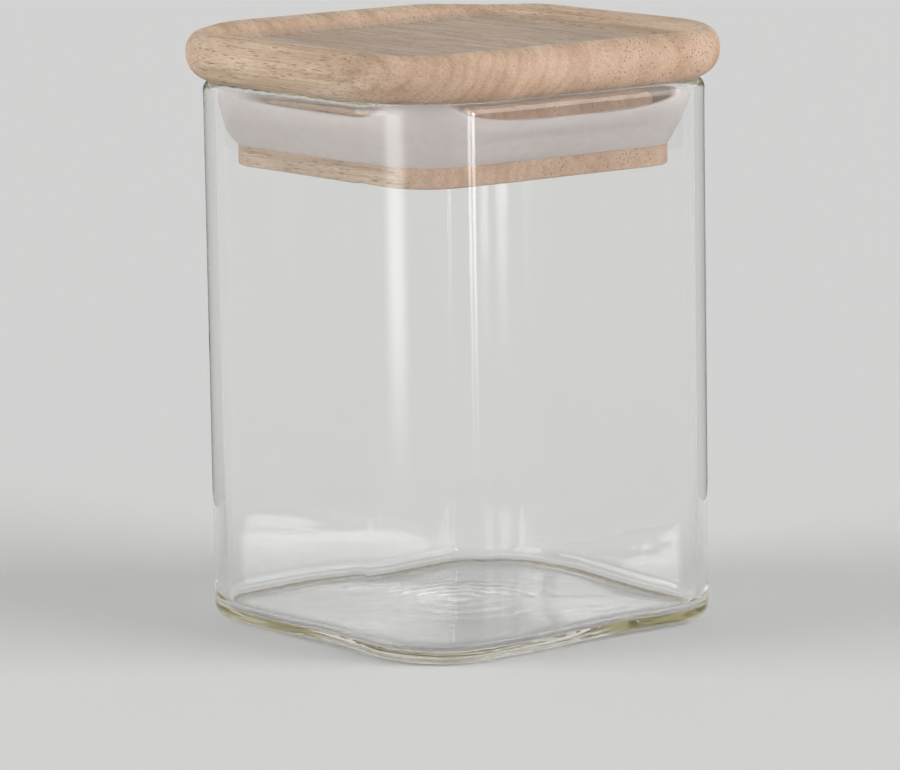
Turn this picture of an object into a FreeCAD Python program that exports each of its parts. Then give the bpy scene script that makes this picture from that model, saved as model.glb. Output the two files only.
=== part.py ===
import FreeCAD, Part
import math
import os

# Square glass spice jar with a wooden plug lid and a silicone seal ring.
# Millimetres, +Z up. The flat sides face X and Y, and the lid is drawn seated on the rim.
# The origin is the middle of the footprint, on the surface that the jar stands on.

# Glass jar
jar_width = 65.0          # outside, across the flat sides
jar_height = 87.0         # from the surface to the top of the rim
jar_corner = 14.5         # outside radius of the upright corners
wall = 2.0                # glass thickness of the sides
base_thick = 2.8          # glass thickness of the floor above the feet
heel_radius = 3.0         # round between the sides and the base, outside
floor_round = 2.5         # round between the sides and the floor, inside
rim_flat = 0.2            # level strip left on the melted round of the rim
arch_rise = 0.7           # lift of the base edge midway between two corner feet
punt_radius = 20.0        # dished middle of the base
punt_depth = 1.2          # height of the dish above the surface

# Lid board
lid_overhang = 4.0        # reach of the board beyond the glass on each side
lid_corner = 22.0         # radius of the corners in plan
lid_thick = 8.0           # underside to the top of the border
lid_top_round = 3.2       # round of the upper edge
edge_flat = 0.6           # upright strip between the two edge rounds
border_flat = 1.3         # level top of the border around the hollow
hollow_depth = 2.4        # depth of the hollow in the top
slope_width = 4.5         # plan width of the slope into the hollow
crest_round = 3.0         # round from the border into the slope
foot_round = 6.0          # round from the slope into the hollow's floor

# Lid plug
plug_gap = 4.25           # clearance between the plug's flange and the glass
neck_height = 10.4        # neck between the board and the flange
flange_thick = 3.2        # flange that holds the ring up
groove_depth = 2.5        # step from the flange back to the neck
flange_round = 0.5        # eased lower edge of the flange
least_round = 0.5         # tightest corner that the milling leaves

# Seal ring
seat_gap = 0.05           # clearance between the ring and the neck
lip_gap = 0.25            # clearance between the lip and the glass
lip_top_gap = 0.5         # clearance between the lip's corners and the board
lip_thick = 1.0           # silicone thickness of the lip
lip_dip = 2.2             # dip of the lip midway along each side
ring_foot_height = 4.0    # solid foot that grips the neck

# Fits worked out from the sizes above
inner_width = jar_width - 2 * wall
inner_corner = max(jar_corner - wall, least_round)
lid_width = jar_width + 2 * lid_overhang
lid_under_round = lid_thick - lid_top_round - edge_flat
plug_width = inner_width - 2 * plug_gap
plug_corner = max(inner_corner - plug_gap, least_round)
neck_width = plug_width - 2 * groove_depth
neck_corner = max(plug_corner - groove_depth, least_round)
flange_top = jar_height - neck_height
plug_bottom = flange_top - flange_thick

LEVEL_TOLERANCE = 1e-4
QUARTER_TURN = 90
UP = FreeCAD.Vector(0, 0, 1)
ORIGIN = FreeCAD.Vector(0, 0, 0)


def edges_at(shape, height):
    """Edges of a shape that lie level at one height."""
    level = []
    for edge in shape.Edges:
        box = edge.BoundBox
        if max(abs(box.ZMin - height), abs(box.ZMax - height)) < LEVEL_TOLERANCE:
            level.append(edge)
    return level


def hole_edges_at(shape, height):
    """Edges around the hole in a level face at one height."""
    found = []
    for face in shape.Faces:
        box = face.BoundBox
        if max(abs(box.ZMin - height), abs(box.ZMax - height)) < LEVEL_TOLERANCE:
            holes = [wire for wire in face.Wires if not wire.isSame(face.OuterWire)]
            found += [edge for wire in holes for edge in wire.Edges]
    return found


def rounded_block(width, corner, low, high):
    """Upright block, square in plan with round corners, centred on the origin."""
    start = FreeCAD.Vector(-width / 2, -width / 2, low)
    block = Part.makeBox(width, width, high - low, start)
    uprights = [edge for edge in block.Edges if edge.BoundBox.ZLength > (high - low) / 2]
    return block.makeFillet(corner, uprights)


def rounded_outline(width, corner, height):
    """Level outline of a rounded block."""
    block = rounded_block(width, corner, height, height + width)
    return Part.Wire(Part.__sortEdges__(edges_at(block, height)))


def arc_radius(half_span, rise):
    """Radius of the arc that rises by a given height over half its span."""
    return (half_span ** 2 + rise ** 2) / (2 * rise)


def make_base_arches():
    """Two crossing scoops that leave the jar standing on its four corners."""
    half_span = jar_width / 2 - jar_corner
    radius = arc_radius(half_span, arch_rise)
    start = FreeCAD.Vector(-jar_width, 0, arch_rise - radius)
    scoop = Part.makeCylinder(radius, 2 * jar_width, start, FreeCAD.Vector(1, 0, 0))
    crossing = scoop.rotated(ORIGIN, UP, QUARTER_TURN)
    return [scoop, crossing]


def make_punt():
    """Shallow dish in the middle of the base."""
    radius = arc_radius(punt_radius, punt_depth)
    return Part.makeSphere(radius, FreeCAD.Vector(0, 0, punt_depth - radius))


def make_glass_jar():
    outside = rounded_block(jar_width, jar_corner, 0, jar_height)
    outside = outside.makeFillet(heel_radius, edges_at(outside, 0))
    inside = rounded_block(inner_width, inner_corner, base_thick, jar_height + wall)
    inside = inside.makeFillet(floor_round, edges_at(inside, base_thick))
    jar = outside.cut(inside)
    jar = jar.makeFillet((wall - rim_flat) / 2, edges_at(jar, jar_height))
    for hollow in make_base_arches() + [make_punt()]:
        jar = jar.cut(hollow)
    return jar


def make_lid_board():
    top = jar_height + lid_thick
    hollow_floor = top - hollow_depth
    board = rounded_block(lid_width, lid_corner, jar_height, top)
    board = board.makeFillet(lid_top_round, edges_at(board, top))
    board = board.makeFillet(lid_under_round, edges_at(board, jar_height))
    crest_inset = lid_top_round + border_flat
    floor_inset = crest_inset + slope_width
    outlines = []
    for inset, height in ((floor_inset, hollow_floor), (crest_inset, top)):
        corner = max(lid_corner - inset, least_round)
        outlines.append(rounded_outline(lid_width - 2 * inset, corner, height))
    hollow = Part.makeLoft(outlines, True, True)
    board = board.cut(hollow)
    board = board.makeFillet(foot_round, edges_at(board, hollow_floor))
    return board.makeFillet(crest_round, hole_edges_at(board, top))


def make_lid_plug():
    neck = rounded_block(neck_width, neck_corner, flange_top, jar_height)
    flange = rounded_block(plug_width, plug_corner, plug_bottom, flange_top)
    flange = flange.makeFillet(flange_round, edges_at(flange, plug_bottom))
    return neck.fuse(flange).removeSplitter()


def ring_section():
    """Section of the ring on its +X side: a foot in the groove and a lip that flares to the glass."""
    neck_face = neck_width / 2 + seat_gap
    foot_edge = plug_width / 2
    lip_edge = inner_width / 2 - lip_gap
    lip_end = jar_height - lip_top_gap - lip_thick / 2
    flare = lip_edge - foot_edge
    radius = arc_radius(lip_end - flange_top, flare)
    centre = FreeCAD.Vector(lip_edge - radius, 0, lip_end)
    inner_radius = radius - lip_thick

    def on_arc(distance, height):
        run = math.sqrt(distance ** 2 - (height - lip_end) ** 2)
        return centre + FreeCAD.Vector(run, 0, height - lip_end)

    foot_top = flange_top + ring_foot_height
    lip_middle = (foot_top + lip_end) / 2
    heel_inner = FreeCAD.Vector(neck_face, 0, flange_top)
    heel_outer = FreeCAD.Vector(foot_edge, 0, flange_top)
    tip_outer = on_arc(radius, lip_end)
    tip = FreeCAD.Vector(lip_edge - lip_thick / 2, 0, lip_end + lip_thick / 2)
    tip_inner = on_arc(inner_radius, lip_end)
    throat = on_arc(inner_radius, foot_top)
    foot_inner = FreeCAD.Vector(neck_face, 0, foot_top)
    curves = [
        Part.LineSegment(heel_inner, heel_outer),
        Part.Arc(heel_outer, on_arc(radius, lip_middle), tip_outer),
        Part.Arc(tip_outer, tip, tip_inner),
        Part.Arc(tip_inner, on_arc(inner_radius, lip_middle), throat),
        Part.LineSegment(throat, foot_inner),
        Part.LineSegment(foot_inner, heel_inner),
    ]
    return Part.Face(Part.Wire([curve.toShape() for curve in curves]))


def make_lip_dips(half_run):
    """Scoops that lower the lip midway along each side and leave its corners tall."""
    lip_top = jar_height - lip_top_gap
    radius = arc_radius(half_run, lip_dip)
    start = FreeCAD.Vector(half_run, 0, lip_top - lip_dip + radius)
    scoop = Part.makeCylinder(radius, jar_width, start, FreeCAD.Vector(1, 0, 0))
    return [scoop.rotated(ORIGIN, UP, turn * QUARTER_TURN) for turn in range(4)]


def make_seal_ring():
    section = ring_section()
    half_run = neck_width / 2 - neck_corner
    side = section.translated(FreeCAD.Vector(0, -half_run, 0))
    side = side.extrude(FreeCAD.Vector(0, 2 * half_run, 0))
    corner = section.translated(FreeCAD.Vector(0, half_run, 0))
    corner = corner.revolve(FreeCAD.Vector(half_run, half_run, 0), UP, QUARTER_TURN)
    pieces = []
    for turn in range(4):
        pieces.append(side.rotated(ORIGIN, UP, turn * QUARTER_TURN))
        pieces.append(corner.rotated(ORIGIN, UP, turn * QUARTER_TURN))
    ring = pieces[0].fuse(pieces[1:]).removeSplitter()
    for scoop in make_lip_dips(half_run):
        ring = ring.cut(scoop)
    return ring


def main():
    nodes = {
        "glass_jar": make_glass_jar(),
        "lid_board": make_lid_board(),
        "lid_plug": make_lid_plug(),
        "seal_ring": make_seal_ring(),
    }
    os.makedirs("parts", exist_ok=True)
    for name, shape in nodes.items():
        shape.exportStep(f"parts/{name}.step")
        state = "valid" if shape.isValid() else "not valid"
        print(name, state, "solids", len(shape.Solids), "volume", round(shape.Volume, 1))


main()
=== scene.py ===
# %% [markdown]
# # A square spice jar
# A clear glass jar with a wooden plug lid and a milky silicone seal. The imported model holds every
# piece at its true size and place. This lesson gives each piece its finished surface, its material,
# and light to see it by.

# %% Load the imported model
import math

import bmesh
import bpy
from mathutils import Matrix, Vector


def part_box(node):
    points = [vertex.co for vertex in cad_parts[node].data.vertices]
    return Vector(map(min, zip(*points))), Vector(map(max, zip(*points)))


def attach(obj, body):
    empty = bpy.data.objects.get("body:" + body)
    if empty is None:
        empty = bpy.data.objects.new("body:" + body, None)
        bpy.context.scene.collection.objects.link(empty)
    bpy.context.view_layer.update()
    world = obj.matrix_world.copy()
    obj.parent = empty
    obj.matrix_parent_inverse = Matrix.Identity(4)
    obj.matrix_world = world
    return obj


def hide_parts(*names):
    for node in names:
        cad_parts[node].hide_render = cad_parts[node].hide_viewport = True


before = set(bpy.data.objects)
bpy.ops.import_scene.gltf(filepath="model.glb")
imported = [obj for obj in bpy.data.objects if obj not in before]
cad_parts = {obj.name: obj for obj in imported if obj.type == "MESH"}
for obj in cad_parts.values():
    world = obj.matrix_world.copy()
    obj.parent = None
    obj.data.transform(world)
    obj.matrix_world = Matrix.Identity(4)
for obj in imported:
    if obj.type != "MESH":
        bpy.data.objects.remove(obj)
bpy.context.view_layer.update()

MM = 0.001
print("packed nodes:", sorted(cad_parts))

# %% [markdown]
# ## Sizes
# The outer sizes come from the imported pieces, so nothing has to be fitted afterwards. What a box
# can't tell, such as the radius of a corner or the thickness of the glass, is named here once.

# %% Read the boxes and name the rest
jar_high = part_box("glass_jar")[1]
board_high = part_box("lid_board")[1]
plug_low, plug_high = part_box("lid_plug")
ring_low, ring_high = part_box("seal_ring")

jar_half = jar_high.x
rim_height = jar_high.z
lid_half = board_high.x
lid_top = board_high.z
plug_half = plug_high.x
flange_top = ring_low.z
lip_half = ring_high.x

jar_corner = 14.5 * MM
wall = 2.0 * MM
heel_radius = 2.2 * MM
lid_corner = 22.0 * MM
plug_corner = 8.25 * MM
groove_depth = 2.5 * MM
print("glass", round(2 * jar_half / MM, 1), "mm wide and", round(rim_height / MM, 1), "mm tall")

# %% [markdown]
# ## One section, taken round a square
# All four pieces have a section that runs round a square with soft corners. Each section starts as
# a few corner points, its rounds are bevels, and long runs are cut into short ones. Then it makes a
# quarter spin for a corner and a straight pull for a side, four times over, which is how a router
# goes round a board. A spin can't make the flat middle, so a grid with the same steps closes that.

# %% Draw a section
ROUND_STEPS = 10


def draw_section(corners, spacing, closed=False):
    """Join (reach, height, round) corners, round them with bevels, and cut the runs by a spacing."""
    body = bmesh.new()
    points = [body.verts.new((reach, 0, height)) for reach, height, _ in corners]
    pairs = list(zip(points, points[1:]))
    if closed:
        pairs.append((points[-1], points[0]))
    for pair in pairs:
        body.edges.new(pair)
    for point, (_, _, radius) in zip(points, corners):
        if radius:
            bmesh.ops.bevel(body, geom=[point], offset=radius, offset_type="OFFSET", affect="VERTICES",
                            segments=ROUND_STEPS, profile=0.5, material=-1)
    for edge in list(body.edges):
        cuts = int(edge.calc_length() / spacing)
        if cuts:
            bmesh.ops.subdivide_edges(body, edges=[edge], cuts=cuts)
    return body


# %% Take it round a square
QUARTER = math.pi / 2
UP = Vector((0, 0, 1))
WELD = 0.001 * MM


def take_round(body, run, corner_steps, side_steps, middles=()):
    """Spin a section round a corner, pull it along a side, repeat that and close the given middles."""
    bmesh.ops.translate(body, verts=body.verts, vec=(0, run, 0))
    front = body.verts[:] + body.edges[:]
    centre = (run, run, 0)
    pull = (-2 * run / side_steps, 0, 0)
    corner = bmesh.ops.spin(body, geom=front, cent=centre, axis=UP, angle=QUARTER, steps=corner_steps)
    bmesh.ops.spin(body, geom=corner["geom_last"], cent=centre, axis=UP, angle=0, dvec=pull,
                   steps=side_steps)
    one_side = body.verts[:] + body.edges[:] + body.faces[:]
    bmesh.ops.spin(body, geom=one_side, cent=(0, 0, 0), axis=UP, angle=3 * QUARTER, steps=3,
                   use_duplicate=True)
    for height in middles:
        bmesh.ops.create_grid(body, x_segments=side_steps, y_segments=side_steps, size=run,
                              matrix=Matrix.Translation((0, 0, height)))
    bmesh.ops.remove_doubles(body, verts=body.verts, dist=WELD)
    bmesh.ops.recalc_face_normals(body, faces=body.faces)
    open_edges = [edge for edge in body.edges if len(edge.link_faces) != 2]
    print("taken round:", len(body.faces), "faces,", len(open_edges), "open edges")


# %% Turn a finished body into a piece of the object
def place_mesh(name, body, material):
    """Make an object of a finished body, with its material, at the origin."""
    mesh = bpy.data.meshes.new(name)
    body.to_mesh(mesh)
    body.free()
    mesh.materials.append(material)
    made = bpy.data.objects.new(name, mesh)
    bpy.context.scene.collection.objects.link(made)
    return made


def piece(name, body, material, rides, stands_for, crease=None):
    """Make the object, shade it smooth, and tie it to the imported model."""
    made = place_mesh(name, body, material)
    made.data.shade_smooth()
    if crease is not None:
        made.data.set_sharp_from_angle(angle=math.radians(crease))
    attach(made, rides)
    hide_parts(stands_for)
    print(name, "has", len(made.data.polygons), "faces")
    return made


# %% [markdown]
# ## Finishes
# Each material is a small network of nodes read in the object's own coordinates, in metres, so a
# pore is a pore at any camera distance. One helper adds a node, sets its options and links or fills
# its inputs. A few more name the small steps that come back in every recipe.

# %% Node helper
def add(tree, kind, inputs=None, **options):
    """Add a node; inputs are given by name or number, as a value or as the socket to link."""
    made = tree.nodes.new(kind)
    for name, value in options.items():
        setattr(made, name, value)
    for key, value in (inputs or {}).items():
        if isinstance(value, bpy.types.NodeSocket):
            tree.links.new(value, made.inputs[key])
        else:
            made.inputs[key].default_value = value
    return made


def new_material(name):
    """A material with one plain shader; returns it with its tree and shader."""
    material = bpy.data.materials.new(name)
    material.use_nodes = True
    tree = material.node_tree
    return material, tree, tree.nodes["Principled BSDF"]


# %% Small steps of a recipe
def between(tree, value, low, high):
    """A smooth step from 0 at low to 1 at high."""
    step = add(tree, "ShaderNodeMapRange", {"Value": value, "From Min": low, "From Max": high},
               interpolation_type="SMOOTHSTEP")
    return step.outputs["Result"]


def blend(tree, amount, first, second, blend_type="MIX"):
    """Mix two colours, either of which may be a socket."""
    mix = add(tree, "ShaderNodeMix", {0: amount, 6: first, 7: second}, data_type="RGBA",
              blend_type=blend_type)
    return mix.outputs[2]


def times(tree, first, second):
    """The product of two numbers, either of which may be a socket."""
    return add(tree, "ShaderNodeMath", {0: first, 1: second}, operation="MULTIPLY").outputs[0]


def larger(tree, first, second):
    """The larger of two numbers."""
    return add(tree, "ShaderNodeMath", {0: first, 1: second}, operation="MAXIMUM").outputs[0]


def gloss_between(tree, shader, value, smooth, rough):
    """Let a pattern move the surface between two roughnesses."""
    gloss = add(tree, "ShaderNodeMapRange", {"Value": value, "To Min": smooth, "To Max": rough})
    tree.links.new(gloss.outputs["Result"], shader.inputs["Roughness"])


def stretched(tree, scale, centre=(0, 0, 0)):
    """Object coordinates about a centre, squeezed by a scale, so patterns can run along the grain."""
    place = add(tree, "ShaderNodeTexCoord")
    move = add(tree, "ShaderNodeMapping", {"Vector": place.outputs["Object"], "Location": centre},
               vector_type="TEXTURE")
    squeeze = add(tree, "ShaderNodeVectorMath", {0: move.outputs[0], 1: scale}, operation="MULTIPLY")
    return squeeze.outputs[0]


# %% [markdown]
# ## Wood
# The lid is a pale, open-pored hardwood. Its pores are thin tubes that run along the grain, here
# along X: cut lengthwise they are dashes, cut across they are dots. So the pores are long cells of
# a three-dimensional pattern, and every face of the lid cuts them the way the saw did. Soft patches,
# bands and streaks run the same way, and the sawn ends show growth rings. The floor of the hollow is
# more streaky than the sanded edge, and it is painted greyer: painted shade for a level floor that
# gets little of the low side light. The mesh carries a number, called hollow, that says where that is.

# %% Where the board was cut from the tree
PITH = (0, 26 * MM, rim_height - 14 * MM)     # middle of the tree, beside and below the board
YOUNG_WOOD = 22 * MM                          # nearer to the pith than this, the wood is full of pores
OLD_WOOD = 42 * MM                            # farther out, cut across, it shows rings and no pores
LONG_GRAIN = 0.15                             # a surface that faces X less than this runs along the grain
SAWN_ACROSS = 0.75                            # one that faces X more than this is cut across it


def near_pith(tree):
    """1 in the young wood around the pith, falling to 0 in the old wood."""
    away = add(tree, "ShaderNodeVectorMath", {0: stretched(tree, (0, 1, 1), PITH)}, operation="LENGTH")
    return between(tree, away.outputs["Value"], OLD_WOOD, YOUNG_WOOD)


def end_grain(tree):
    """1 where the surface cuts across the grain, 0 where it runs along it."""
    place = add(tree, "ShaderNodeTexCoord")
    facing = add(tree, "ShaderNodeSeparateXYZ", {0: place.outputs["Normal"]})
    across = add(tree, "ShaderNodeMath", {0: facing.outputs["X"]}, operation="ABSOLUTE")
    return between(tree, across.outputs[0], LONG_GRAIN, SAWN_ACROSS)


def by_cut(tree, across, along_grain, cut_across):
    """A number that goes from one value on long grain to another on end grain."""
    return add(tree, "ShaderNodeMix", {0: across, 2: along_grain, 3: cut_across}).outputs[0]


# %% [markdown]
# ### Colour of the wood
# Each pattern is noise, and four settings say what it looks like: how many waves a metre holds along
# X, Y and Z, how fine its detail is, the edge where it starts and where it is full, and how strongly
# it shows along the grain and cut across. The colours are laid over each other from soft to fine.

# %% Patterns and tones
MOTTLE = {"waves": (40, 190, 190), "detail": 3.0, "edge": (0.34, 0.68), "shows": (1.0, 0.75)}
BAND = {"waves": (26, 780, 780), "detail": 2.0, "edge": (0.42, 0.70), "shows": (0.38, 0.10)}
STREAK = {"waves": (60, 2600, 2600), "detail": 3.0, "edge": (0.46, 0.72), "shows": (0.50, 0.24)}
FLECK = {"waves": (900, 5200, 5200), "detail": 2.0, "edge": (0.46, 0.75), "shows": (0.46, 0.52)}
RING = {"edge": (0.45, 1.0), "shows": (0.12, 0.19)}

WOOD_PALE = (0.715, 0.555, 0.415, 1)
WOOD_WARM = (0.540, 0.385, 0.265, 1)
WOOD_RING = (0.340, 0.220, 0.138, 1)
WOOD_PAINTED_SHADE = (0.335, 0.290, 0.248, 1)          # painted shade on the hollow's floor
WOOD_SCORE = (0.225, 0.190, 0.165, 1)         # fine lines that the cutter scored in it
END_GRAIN = (0.99, 0.90, 0.88, 1)             # cut across, the wood is a little pinker


def grain(tree, pattern):
    """Noise stretched along the grain."""
    place = stretched(tree, pattern["waves"])
    noise = add(tree, "ShaderNodeTexNoise", {"Vector": place, "Detail": pattern["detail"], "Scale": 1.0})
    return noise.outputs["Fac"]


def growth_rings(tree):
    """Wavy rings about the pith, which the board's ends show as faint arcs."""
    about_pith = stretched(tree, (0.08, 1, 1), PITH)
    rings = add(tree, "ShaderNodeTexWave", {"Vector": about_pith, "Scale": 150.0, "Distortion": 7.0,
                "Detail": 3.0, "Detail Scale": 0.6, "Detail Roughness": 0.6},
                wave_type="RINGS", rings_direction="X", wave_profile="SIN")
    return rings.outputs["Fac"]


def stain(tree, tone, colour, value, pattern, across):
    """Lay a colour over the tone where a pattern's value is high, by how the wood is cut."""
    strength = by_cut(tree, across, *pattern["shows"])
    return blend(tree, times(tree, between(tree, value, *pattern["edge"]), strength), tone, colour)


for name, pattern in (("mottle", MOTTLE), ("band", BAND), ("streak", STREAK), ("fleck", FLECK)):
    along, across, _ = pattern["waves"]
    print(name, "about", round(1 / along / MM, 1), "mm long and", round(1 / across / MM, 2), "mm wide")

# %% Tone of the wood
SHADE_DEPTH = (0.45, 1.0)       # depth in the hollow, 1 on its floor, where the painted shade starts and is full
HOLLOW_SHADE_SHARE = 0.34             # share of painted shade on the hollow's floor
SCORE_DEPTH = (0.97, 1.0)      # only the very floor is scored
SCORE_EDGE = (0.40, 0.64)
SCORE_SHOWS = 0.30
CLEAR_OF_PITH = (0.9, 0.0)     # rings come out as the young wood ends


def ring_stain(tree, tone, across):
    """Growth rings, which the ends show in the old wood only."""
    old_wood = between(tree, near_pith(tree), *CLEAR_OF_PITH)
    along_grain, cut_across = RING["shows"]
    strength = by_cut(tree, across, along_grain, times(tree, old_wood, cut_across))
    ring = between(tree, growth_rings(tree), *RING["edge"])
    return blend(tree, times(tree, ring, strength), tone, WOOD_RING)


def hollow_shade_and_scores(tree, tone, streak):
    """Painted shade, grey over the hollow's floor, and fine scored lines on it."""
    hollow = add(tree, "ShaderNodeAttribute", attribute_name="hollow").outputs["Fac"]
    # painted shade: the level floor of the hollow is greyed for the side light it misses
    painted_shade = times(tree, between(tree, hollow, *SHADE_DEPTH), HOLLOW_SHADE_SHARE)
    tone = blend(tree, painted_shade, tone, WOOD_PAINTED_SHADE)
    scored = times(tree, between(tree, streak, *SCORE_EDGE), between(tree, hollow, *SCORE_DEPTH))
    return blend(tree, times(tree, scored, SCORE_SHOWS), tone, WOOD_SCORE)


def wood_colour(tree, streak, fleck, across):
    """The wood without its pores: soft patches, rings, bands and streaks, and painted shade in the hollow.
    """
    tone = stain(tree, WOOD_PALE, WOOD_WARM, grain(tree, MOTTLE), MOTTLE, across)
    tone = ring_stain(tree, tone, across)
    tone = stain(tree, tone, WOOD_RING, grain(tree, BAND), BAND, across)
    tone = stain(tree, tone, WOOD_RING, streak, STREAK, across)
    tone = stain(tree, tone, WOOD_RING, fleck, FLECK, across)
    tone = blend(tree, across, tone, END_GRAIN, "MULTIPLY")
    return hollow_shade_and_scores(tree, tone, streak)


# %% [markdown]
# ### Pores
# A pore is the dark core of a long cell. Its settings are how many cells a metre holds along X, Y
# and Z, how far from the middle of a cell its core and its edge lie, and how dark it gets. Pores
# thin out in patches along the grain, and cut across they cluster in the young wood.

# %% Pores
DASH = {"cells": (260, 2600, 2600), "core": 0.12, "edge": 0.30, "shows": 0.74}
HAIR = {"cells": (330, 4600, 4600), "core": 0.10, "edge": 0.34, "shows": 0.42}
DOT = {"cells": (90, 1650, 1650), "core": 0.12, "edge": 0.31, "shows": 0.80}
PATCH = {"waves": (110, 420, 420), "detail": 1.0}
DASH_PATCH = (0.24, 0.46)
DOT_PATCH = (0.36, 0.50)


def tubes(tree, pore):
    """Long cells as thin tubes: dark on a tube's core, nothing from its edge outwards."""
    place = stretched(tree, pore["cells"])
    cells = add(tree, "ShaderNodeTexVoronoi", {"Vector": place, "Scale": 1.0})
    return times(tree, between(tree, cells.outputs["Distance"], pore["edge"], pore["core"]), pore["shows"])


def wood_pores(tree, across):
    """Dashes of two sizes along the grain; cut across, round dots in clusters in the young wood."""
    patch = grain(tree, PATCH)
    hair = tubes(tree, HAIR)
    dash = larger(tree, tubes(tree, DASH), hair)
    dash = times(tree, dash, between(tree, patch, *DASH_PATCH))
    dot = larger(tree, tubes(tree, DOT), hair)
    cluster = times(tree, between(tree, patch, *DOT_PATCH), near_pith(tree))
    return by_cut(tree, across, dash, times(tree, dot, cluster))


# %% Wood
WOOD_PORE = (0.165, 0.100, 0.065, 1)
FLECK_RELIEF = 0.25            # height of a fleck as a share of a pore's depth
PORE_DEPTH = 0.15 * MM
WOOD_SATIN = (0.52, 0.70)      # least and greatest roughness of oiled wood


def make_wood():
    """Pores over the wood's own colours, sunk a little into a satin surface."""
    material, tree, shader = new_material("sanded hardwood")
    streak = grain(tree, STREAK)
    fleck = grain(tree, FLECK)
    across = end_grain(tree)
    pore = wood_pores(tree, across)
    tone = blend(tree, pore, wood_colour(tree, streak, fleck, across), WOOD_PORE)
    tree.links.new(tone, shader.inputs["Base Color"])
    relief = add(tree, "ShaderNodeMath", {0: fleck, 1: FLECK_RELIEF, 2: times(tree, pore, -1.0)},
                 operation="MULTIPLY_ADD")
    bump = add(tree, "ShaderNodeBump", {"Height": relief.outputs[0], "Strength": 0.35,
                                        "Distance": PORE_DEPTH})
    tree.links.new(bump.outputs["Normal"], shader.inputs["Normal"])
    gloss_between(tree, shader, streak, *WOOD_SATIN)
    shader.inputs["Specular IOR Level"].default_value = 0.3
    return material


wood = make_wood()
print("made", wood.name, "with", len(wood.node_tree.nodes), "nodes")

# %% [markdown]
# ## Lid board
# The board is sawn, rounded over on a router table and given a shallow hollow on top. Its section
# is an underside, two edge rounds and a level top. The hollow has tighter corners than the board,
# so it can't be a ring of the section: it is pressed into the top afterwards, by keeping the lower
# of two heights with a soft blend, and the border is narrowest at the corners, as on the real lid.

# %% Board section
lid_top_round = 3.2 * MM
lid_under_round = 4.2 * MM
lid_run = lid_half - lid_corner

board_body = draw_section([
    (lid_run, rim_height, 0),
    (lid_half, rim_height, lid_under_round),
    (lid_half, lid_top, lid_top_round),
    (lid_run, lid_top, 0),
], spacing=0.5 * MM)
take_round(board_body, lid_run, corner_steps=32, side_steps=40, middles=(rim_height, lid_top))

# %% Hollow
border_width = 4.5 * MM        # edge of the board to the crest of the hollow
hollow_depth = 2.4 * MM
hollow_corner = 9.5 * MM
slope_width = 4.6 * MM
crest_blend = 0.9 * MM
crest_climb = 0.6              # how steeply the hollow's shape leaves the board outside the crest


def outside_square(x, y, half, corner):
    """Distance outside a round-cornered square, negative inside."""
    over_x = abs(x) - half + corner
    over_y = abs(y) - half + corner
    return math.hypot(max(over_x, 0), max(over_y, 0)) + min(max(over_x, over_y), 0) - corner


def smooth_step(share):
    """0 up to 0, 1 from 1 on, and a soft rise between them."""
    share = min(max(share, 0), 1)
    return share * share * (3 - 2 * share)


def soft_lower(first, second, width):
    """The lower of two heights, with their meeting line rounded over a width."""
    near = max(width - abs(first - second), 0) / width
    return min(first, second) - near * near * width / 4


def press_hollow(body):
    """Lower the top to the hollow's floor and note on each point how deep it lies."""
    depth_note = body.verts.layers.float.new("hollow")
    for vert in body.verts:
        if vert.co.z > lid_top - lid_top_round:
            out = outside_square(vert.co.x, vert.co.y, lid_half - border_width, hollow_corner)
            drop = hollow_depth * smooth_step(-out / slope_width)
            height = lid_top + crest_climb * out if out > 0 else lid_top - drop
            vert.co.z = soft_lower(vert.co.z, height, crest_blend)
            vert[depth_note] = smooth_step(drop / hollow_depth)


press_hollow(board_body)
piece("oiled_lid_board", board_body, wood, "lid", "lid_board")

# %% [markdown]
# ## Lid plug
# The block under the board is milled with a neck for the ring and a flange that keeps the ring up.
# Its edges are nearly sharp, only eased with sandpaper, so the section is mostly straight lines and
# the shading breaks wherever two faces meet at a clear angle.

# %% Plug
flange_ease = 0.35 * MM
arris_ease = 0.2 * MM
neck_half = plug_half - groove_depth
plug_run = plug_half - plug_corner
CLEAR_ANGLE = 50               # degrees between two faces from which their edge shades sharp

plug_body = draw_section([
    (plug_run, plug_low.z, 0),
    (plug_half, plug_low.z, flange_ease),
    (plug_half, flange_top, arris_ease),
    (neck_half, flange_top, 0),
    (neck_half, plug_high.z, 0),
    (plug_run, plug_high.z, 0),
], spacing=2 * MM)
take_round(plug_body, plug_run, corner_steps=20, side_steps=16, middles=(plug_low.z, plug_high.z))
piece("oiled_lid_plug", plug_body, wood, "lid", "lid_plug", crease=CLEAR_ANGLE)

# %% [markdown]
# ## Seal ring
# The ring is moulded in one piece: a foot that grips the neck and a thin lip that curves out to the
# glass like the side of a bowl. Silicone is milky, so light wanders inside it; that is subsurface
# scattering plus a little transmission, with a satin surface. Along each side the lip is pulled in
# and sits lower than at the stiff corners, which shows as a shallow dip.

# %% Silicone
MILKY_WARM = (0.770, 0.705, 0.680, 1)
MILKY_COOL = (0.805, 0.755, 0.745, 1)
CLOUD_WAVES = (90, 90, 160)
CLOUD_EDGE = (0.3, 0.7)
MILKY_SATIN = (0.30, 0.42)     # least and greatest roughness
SCATTER_REACH = 2.0 * MM       # how far light wanders under the surface


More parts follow.
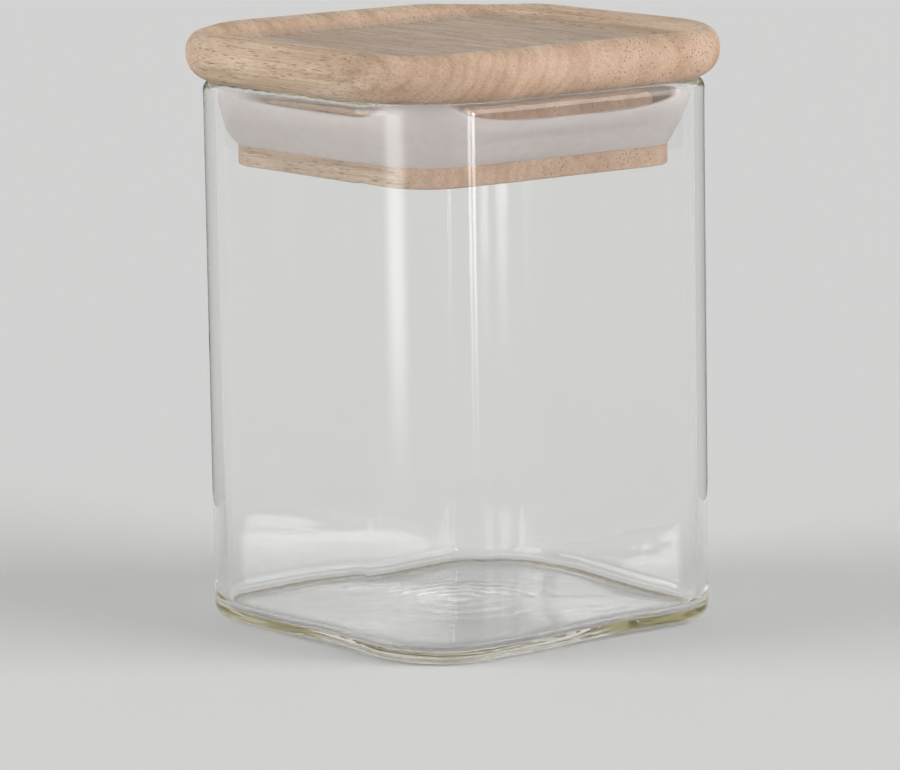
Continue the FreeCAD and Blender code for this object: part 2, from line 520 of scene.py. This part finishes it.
def make_silicone():
    """Cloudy, slightly see-through silicone."""
    material, tree, shader = new_material("milky silicone")
    noise = add(tree, "ShaderNodeTexNoise", {"Vector": stretched(tree, CLOUD_WAVES), "Detail": 2.0})
    cloud = noise.outputs["Fac"]
    tone = blend(tree, between(tree, cloud, *CLOUD_EDGE), MILKY_WARM, MILKY_COOL)
    tree.links.new(tone, shader.inputs["Base Color"])
    gloss_between(tree, shader, cloud, *MILKY_SATIN)
    shader.inputs["Subsurface Weight"].default_value = 0.35
    shader.inputs["Subsurface Radius"].default_value = (1.0, 0.9, 0.85)
    shader.inputs["Subsurface Scale"].default_value = SCATTER_REACH
    shader.inputs["Transmission Weight"].default_value = 0.25
    shader.inputs["IOR"].default_value = 1.41
    return material


silicone = make_silicone()
print("made", silicone.name)

# %% Ring section
seat_gap = 0.05 * MM
lip_thick = 1.0 * MM
ring_foot_height = 4.0 * MM
NEARLY = 0.98                  # two bevels that share a run leave a sliver between them
lip_end = ring_high.z - lip_thick / 2
foot_top = flange_top + ring_foot_height
neck_face = neck_half + seat_gap
lip_inner = lip_half - lip_thick

flare = lip_half - plug_half
flare_rise = lip_end - flange_top
flare_radius = (flare_rise ** 2 + flare ** 2) / (2 * flare)
throat_radius = flare_radius - lip_thick
flare_turn = math.asin(flare_rise / flare_radius)
throat_turn = math.asin((lip_end - foot_top) / throat_radius)
flare_pull = flare_radius * math.tan(flare_turn / 2)
throat_pull = throat_radius * math.tan(throat_turn / 2)
throat_reach = lip_half - flare_radius + throat_radius * math.cos(throat_turn)

ring_body = draw_section([
    (neck_face, flange_top, 0),
    (plug_half, flange_top, 0),
    (lip_half, lip_end - flare_pull, NEARLY * flare_pull),
    (lip_half, ring_high.z, NEARLY * lip_thick / 2),
    (lip_inner, ring_high.z, NEARLY * lip_thick / 2),
    (lip_inner, lip_end - throat_pull, NEARLY * throat_pull),
    (throat_reach, foot_top, 0),
    (neck_face, foot_top, 0),
], spacing=1 * MM, closed=True)
take_round(ring_body, plug_run, corner_steps=24, side_steps=40)
print("lip curves on a", round(flare_radius / MM, 1), "mm radius")

# %% Lip dip
dip_reach = 24 * MM            # how far from the middle of its side a dip ends
end_dip = 3.0 * MM             # depth on the sides that face X
end_shift = 2 * MM             # how far off the middle the lowest point lies there
side_dip = 1.9 * MM            # depth on the sides that face Y
side_shift = 15 * MM
long_flatness = 4              # a dip's long part runs nearly level and then rises
short_flatness = 2             # its short part curves up evenly


def dip_share(along, middle):
    """1 at the dip's lowest point, 0 where it ends near the corners."""
    reach = dip_reach - middle if along > middle else dip_reach + middle
    flatness = long_flatness if reach > dip_reach / 2 else short_flatness
    return max(1 - ((along - middle) / reach) ** flatness, 0)


def dip_lip(body):
    """Lower the lip along each side, most at its tip and not at all at the foot."""
    for vert in body.verts:
        x, y, z = vert.co
        if abs(x) > abs(y):
            dip = end_dip * dip_share(y, end_shift)
        else:
            dip = side_dip * dip_share(x, side_shift)
        vert.co.z -= dip * max(z - foot_top, 0) / (ring_high.z - foot_top)


dip_lip(ring_body)
ring = piece("milky_seal_ring", ring_body, silicone, "lid", "seal_ring",
             crease=CLEAR_ANGLE)
ring.visible_shadow = False    # thin silicone lets the light through to the wood behind it
ring.visible_diffuse = False

# %% [markdown]
# ## Glass
# The jar is blown from a tube, so its walls are even but never quite flat, and its rim is melted
# round with a slight bead. The base sags between four feet, which sit a little off the corners, and
# its floor keeps ripples from the mould. Reflections and bent light show every one of these, so they
# are real shape here and not paint: the section is spun with both walls, and then heights are
# adjusted near the base.

# %% Glass
GLASS_CLEAR = (0.995, 0.998, 0.995, 1)
GLASS_TINT = (0.86, 0.84, 0.67, 1)
GLASS_DEPTH = 7.0              # per metre: two millimetres of wall stay clear, the long way round doesn't
GLASS_BEND = 1.48
SWAY_WAVES = (45, 45, 18)      # the slow unevenness of blown walls
SWAY_HEIGHT = 0.2 * MM


def make_glass():
    """Clear glass that shows a cream tint only where light runs a long way through it."""
    material, tree, shader = new_material("clear glass")
    sway = add(tree, "ShaderNodeTexNoise", {"Vector": stretched(tree, SWAY_WAVES), "Detail": 1.0})
    bump = add(tree, "ShaderNodeBump", {"Height": sway.outputs["Fac"], "Strength": 0.12,
                                        "Distance": SWAY_HEIGHT})
    tree.links.new(bump.outputs["Normal"], shader.inputs["Normal"])
    shader.inputs["Base Color"].default_value = GLASS_CLEAR
    shader.inputs["Roughness"].default_value = 0.0
    shader.inputs["Transmission Weight"].default_value = 1.0
    shader.inputs["IOR"].default_value = GLASS_BEND
    depth = add(tree, "ShaderNodeVolumeAbsorption", {"Color": GLASS_TINT, "Density": GLASS_DEPTH})
    tree.links.new(depth.outputs[0], tree.nodes["Material Output"].inputs["Volume"])
    return material


glass = make_glass()
print("made", glass.name)

# %% Glass section
bead = 0.15 * MM               # how far the melted rim stands out
bead_drop = 3.0 * MM           # height over which the bead swells
bead_round = bead_drop / 3
rim_outer_round = 1.9 * MM
rim_inner_round = 0.22 * MM
base_thick = 1.7 * MM
floor_round = 2.4 * MM
inner_half = jar_half - wall
jar_run = jar_half - jar_corner

jar_body = draw_section([
    (jar_run, 0, 0),
    (jar_half, 0, heel_radius),
    (jar_half, rim_height - bead_drop, bead_round),
    (jar_half + bead, rim_height, rim_outer_round),
    (inner_half, rim_height, rim_inner_round),
    (inner_half, base_thick, floor_round),
    (jar_run, base_thick, 0),
], spacing=1.5 * MM)
take_round(jar_body, jar_run, corner_steps=24, side_steps=56, middles=(0, base_thick))

# %% Feet and dish of the base
FEET = 4
arch_rise = 0.6 * MM           # lift of the base between two feet
arch_turn = math.radians(17)   # the feet sit a little off the corners, all the same way round
arch_inner = 8 * MM            # inside this radius the base has no feet
arch_outer = 27 * MM           # outside this one they have their full depth
arch_narrow = 1.5              # above 1, the arches are narrower than the feet
dish_radius = 20 * MM
dish_rise = 0.6 * MM


def base_lift(x, y):
    """Height that the base gains away from its feet."""
    away = math.hypot(x, y)
    outward = smooth_step((away - arch_inner) / (arch_outer - arch_inner))
    wave = 0.5 + 0.5 * math.cos(FEET * (math.atan2(y, x) - arch_turn))
    foot = outward * (1 - wave ** arch_narrow)
    dish = smooth_step(1 - away / dish_radius)
    return arch_rise * (1 - foot) + dish_rise * dish


# %% Ripples, and the base settled
ripple_height = 0.020 * MM
ripple_length = 3.8 * MM
ripple_edge = 22 * MM          # radius at which the ripples end
arch_fade = 14 * MM            # height above which the walls no longer feel the arch


def ripple(x, y):
    """Rings that the mould leaves on the floor, fading out towards the walls."""
    away = math.hypot(x, y)
    fade = smooth_step(2 - 2 * away / ripple_edge)
    return ripple_height * math.sin(math.tau * away / ripple_length) * fade


def settle_base(body):
    """Lift the base off its feet and ripple the floor inside."""
    for vert in body.verts:
        x, y, z = vert.co
        vert.co.z += base_lift(x, y) * smooth_step(1 - z / arch_fade)
        inside = max(abs(x), abs(y)) < inner_half - floor_round
        if inside and base_thick / 2 < z < rim_height / 2:
            vert.co.z += ripple(x, y)


settle_base(jar_body)
piece("clear_glass_jar", jar_body, glass, "jar", "glass_jar")

# %% [markdown]
# ## Floor and sky
# A wide pale floor fills the view, so glass has something even to show. The sky fills the shadows
# with little light, but the camera, gloss and glass see it about as pale as the floor. A brighter
# sky would do both with one number, and would wash out the wood.

# %% Floor
FLOOR_RADIUS = 8.0
FLOOR_SIDES = 64
FLOOR_PALE = (0.78, 0.78, 0.775, 1)


def matte(name, colour, roughness):
    """A plain material without gloss, for what isn't part of the object."""
    material, _, shader = new_material(name)
    shader.inputs["Base Color"].default_value = colour
    shader.inputs["Roughness"].default_value = roughness
    shader.inputs["Specular IOR Level"].default_value = 0.0
    return material


floor_body = bmesh.new()
bmesh.ops.create_circle(floor_body, cap_ends=True, radius=FLOOR_RADIUS, segments=FLOOR_SIDES)
place_mesh("pale_floor", floor_body, matte("pale floor", FLOOR_PALE, 0.7))
print("floor", 2 * FLOOR_RADIUS, "m across")

# %% Sky
SKY_LIGHT = 0.42               # what the sky sheds on the jar
SKY_SEEN = 0.72                # what the camera, gloss and glass see of it
WHITE = (1, 1, 1, 1)


def make_sky():
    """A sky with two strengths, one that lights and one that is seen."""
    world = bpy.data.worlds.new("even sky")
    world.use_nodes = True
    tree = world.node_tree
    light = tree.nodes["Background"]
    light.inputs["Color"].default_value = WHITE
    light.inputs["Strength"].default_value = SKY_LIGHT
    seen = add(tree, "ShaderNodeBackground", {"Color": WHITE, "Strength": SKY_SEEN})
    path = add(tree, "ShaderNodeLightPath").outputs
    looks = larger(tree, path["Is Camera Ray"], path["Is Glossy Ray"])
    looks = larger(tree, looks, path["Is Transmission Ray"])
    mix = add(tree, "ShaderNodeMixShader", {0: looks, 1: light.outputs[0], 2: seen.outputs[0]})
    tree.links.new(mix.outputs[0], tree.nodes["World Output"].inputs["Surface"])
    bpy.context.scene.world = world


make_sky()
print("sky sheds", SKY_LIGHT, "and is seen at", SKY_SEEN)

# %% [markdown]
# ## Lamps
# Two soft suns light the floor evenly to its edge and the lid from both sides. Two upright strips
# beside the jar draw the bright lines down its corner, as in a studio; only gloss and glass see them.

# %% Suns
SUN_DISTANCE = 3.0
SUN_SPREAD = 50                # degrees across, so its shadows are soft
LAMP_AIM = 45 * MM             # height that the suns face


def from_side(azimuth, elevation):
    """Unit vector towards a place round the object; azimuth 0 is -Y and 90 is +X."""
    a = math.radians(azimuth)
    e = math.radians(elevation)
    return Vector((math.sin(a) * math.cos(e), -math.cos(a) * math.cos(e), math.sin(e)))


def hang(lamp, azimuth, elevation, distance, aim):
    """Put a lamp on one side of the jar, facing it, unseen by the camera itself."""
    holder = bpy.data.objects.new(lamp.name, lamp)
    towards = from_side(azimuth, elevation)
    holder.location = UP * aim + towards * distance
    holder.rotation_euler = towards.to_track_quat("Z", "Y").to_euler()
    holder.visible_camera = False
    bpy.context.scene.collection.objects.link(holder)
    return holder


def soft_sun(name, azimuth, elevation, strength):
    """A broad sun from one side."""
    lamp = bpy.data.lights.new(name, "SUN")
    lamp.energy = strength
    lamp.angle = math.radians(SUN_SPREAD)
    hang(lamp, azimuth, elevation, SUN_DISTANCE, LAMP_AIM)


soft_sun("key sun", azimuth=122, elevation=20, strength=2.05)
soft_sun("fill sun", azimuth=-28, elevation=18, strength=1.8)
print("suns:", len(bpy.data.lights))

# %% Strips
STRIP_DISTANCE = 0.15
STRIP_HEIGHT = 0.12
STRIP_MIDDLE = 0.5
STRIP_EDGE = (0.5, 0.1)        # share of the width off the middle where the glow ends and is full


def strip(name, azimuth, width, watts, fade):
    """An upright strip lamp that fades out towards its sides and its lower end, for a soft reflection."""
    lamp = bpy.data.lights.new(name, "AREA")
    lamp.shape = "RECTANGLE"
    lamp.size = width
    lamp.size_y = STRIP_HEIGHT
    lamp.energy = watts
    lamp.use_nodes = True
    tree = lamp.node_tree
    place = add(tree, "ShaderNodeNewGeometry")
    across = add(tree, "ShaderNodeSeparateXYZ", {0: place.outputs["Parametric"]}).outputs
    offset = add(tree, "ShaderNodeMath", {0: across["X"], 1: STRIP_MIDDLE}, operation="SUBTRACT")
    off_middle = add(tree, "ShaderNodeMath", {0: offset.outputs[0]}, operation="ABSOLUTE")
    inward = between(tree, off_middle.outputs[0], *STRIP_EDGE)
    upward = between(tree, across["Y"], 0.0, fade)
    tree.links.new(times(tree, inward, upward), tree.nodes["Emission"].inputs["Strength"])
    holder = hang(lamp, azimuth, 0, STRIP_DISTANCE, STRIP_HEIGHT / 2)
    holder.visible_diffuse = False


strip("right strip", azimuth=95, width=14 * MM, watts=0.10, fade=1.0)
strip("left strip", azimuth=13, width=80 * MM, watts=0.085, fade=0.4)
print("lamps:", len(bpy.data.lights))

# %% [markdown]
# ## Dark cards
# Clear glass in a pale room has edges that can hardly be seen. A photographer stands two dark cards
# behind it, just out of the picture, and the edges mirror them as thin dark lines. The cards here do
# only that: reflections see them, and the camera, the light and the view through the glass don't.

# %% Cards
CARD_GREY = (0.05, 0.05, 0.05, 1)
CARD_WIDTH = 150 * MM
CARD_HEIGHT = 110 * MM
CARD_DISTANCE = 120 * MM


def dark_card(name, azimuth):
    """A card that stands on the floor on one side of the jar and faces it."""
    body = bmesh.new()
    bmesh.ops.create_grid(body, x_segments=1, y_segments=1, size=0.5)
    bmesh.ops.scale(body, verts=body.verts, vec=(CARD_WIDTH, CARD_HEIGHT, 1))
    towards = from_side(azimuth, 0)
    turn = towards.to_track_quat("Z", "Y").to_matrix().to_4x4()
    place = Matrix.Translation(towards * CARD_DISTANCE + UP * CARD_HEIGHT / 2)
    bmesh.ops.transform(body, verts=body.verts, matrix=place @ turn)
    made = place_mesh(name, body, matte(name, CARD_GREY, 0.9))
    made.visible_camera = False
    made.visible_diffuse = False
    made.visible_transmission = False
    made.visible_shadow = False
    print(name, "stands", round(CARD_DISTANCE / MM), "mm from the middle")


dark_card("dark_card_left", azimuth=271)
dark_card("dark_card_right", azimuth=195)

# %% [markdown]
# ## Camera
# The camera looks down on the jar's front corner through a long lens, so that upright edges stay
# nearly upright. Its place, tilt and lens were matched to the jar's outline. Glass needs many more
# bounces than the usual few: light runs round inside the base, and stops as black where they end.

# %% Camera
CAMERA_AZIMUTH = 52.87
CAMERA_PITCH = 9.48
CAMERA_ROLL = 0.95
CAMERA_DISTANCE = 870.8 * MM
CAMERA_SIDE = -1.19 * MM
CAMERA_AIM = 37.44 * MM
CAMERA_REACH = 50              # metres that the camera sees
FOCAL_PIXELS = 5441
PICTURE_WIDTH = 900
SENSOR_WIDTH = 36
GLASS_BOUNCES = 128


def make_camera():
    """Stand the camera beside the jar and tilt it by its roll."""
    data = bpy.data.cameras.new("photo camera")
    data.sensor_fit = "HORIZONTAL"
    data.sensor_width = SENSOR_WIDTH
    data.lens = FOCAL_PIXELS / PICTURE_WIDTH * SENSOR_WIDTH
    data.clip_end = CAMERA_REACH
    camera = bpy.data.objects.new("photo camera", data)
    back = from_side(CAMERA_AZIMUTH, CAMERA_PITCH)
    right = from_side(CAMERA_AZIMUTH + 90, 0)
    up = back.cross(right)
    place = UP * CAMERA_AIM + back * CAMERA_DISTANCE + right * CAMERA_SIDE
    roll = math.radians(CAMERA_ROLL)
    tilted_right = right * math.cos(roll) - up * math.sin(roll)
    tilted_up = right * math.sin(roll) + up * math.cos(roll)
    axes = Matrix((tilted_right, tilted_up, back)).transposed().to_4x4()
    camera.matrix_world = Matrix.Translation(place) @ axes
    bpy.context.scene.collection.objects.link(camera)
    bpy.context.scene.camera = camera
    return camera


camera = make_camera()
bpy.context.scene.view_settings.view_transform = "Standard"
bpy.context.scene.cycles.max_bounces = GLASS_BOUNCES
bpy.context.scene.cycles.glossy_bounces = GLASS_BOUNCES
bpy.context.scene.cycles.transmission_bounces = GLASS_BOUNCES
print("lens", round(camera.data.lens, 1), "mm")
